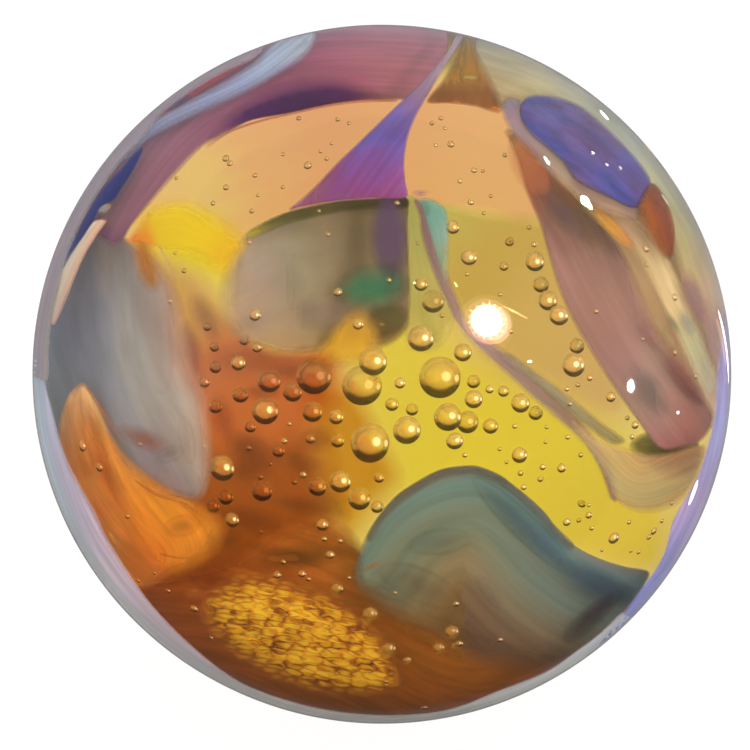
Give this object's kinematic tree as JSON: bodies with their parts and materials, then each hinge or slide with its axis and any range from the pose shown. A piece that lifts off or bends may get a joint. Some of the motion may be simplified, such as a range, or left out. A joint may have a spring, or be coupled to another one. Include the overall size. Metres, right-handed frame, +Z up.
{
  "type": "glass marble",
  "caption": "Solid clear amber glass ball with grey, teal and violet colour swirls, fine air seeds in a cloud at the middle and a thin lustre on its skin",
  "frame": {"origin": "centre of the ball", "axes": "+Z up through the top of the ball, display side with the violet and grey swirls towards -Y"},
  "size_m": [0.025, 0.025, 0.025],
  "materials": {
    "glass": "clear amber glass, fire polished, with a faint lustre and tiny surface nicks",
    "swirl": "translucent grey, teal, violet and mauve coloured glass drawn into smooth bands inside the ball"
  },
  "bodies": {
    "root": {"glass_marble": "glass"}
  },
  "joints": []
}
